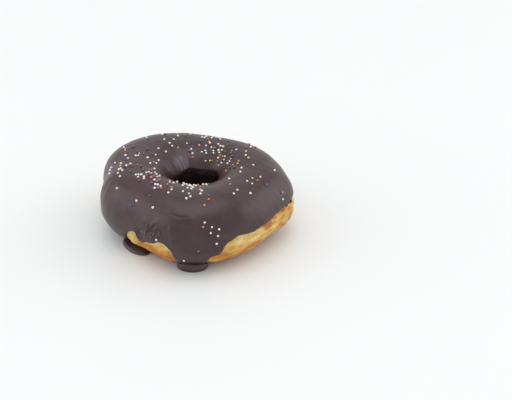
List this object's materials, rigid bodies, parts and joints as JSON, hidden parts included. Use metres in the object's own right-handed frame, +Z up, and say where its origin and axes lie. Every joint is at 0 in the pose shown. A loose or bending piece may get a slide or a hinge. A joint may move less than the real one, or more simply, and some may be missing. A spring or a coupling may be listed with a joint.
{
  "type": "sprinkle frosted doughnut",
  "caption": "Ring doughnut of fried yeast dough under runny chocolate icing that has dripped onto the surface below, scattered with small round coloured sprinkles.",
  "frame": {"origin": "on the flat foot's plane, under the middle of the bounding box", "axes": "+Z up out of the iced top, through the hole; +X to the right and -Y towards the viewer, on the side with the long front drip"},
  "size_m": [0.0989, 0.1002, 0.0376],
  "materials": {
    "fried_dough": "soft fried crust, golden brown with a pale band",
    "chocolate_icing": "satin set chocolate icing",
    "white_sprinkle": "sugar shell",
    "pink_sprinkle": "sugar shell",
    "red_sprinkle": "sugar shell",
    "orange_sprinkle": "sugar shell",
    "yellow_sprinkle": "sugar shell",
    "green_sprinkle": "sugar shell",
    "blue_sprinkle": "sugar shell",
    "purple_sprinkle": "sugar shell"
  },
  "bodies": {
    "root": {"dough_ring": "fried_dough", "chocolate_icing": "chocolate_icing"}
  },
  "joints": []
}
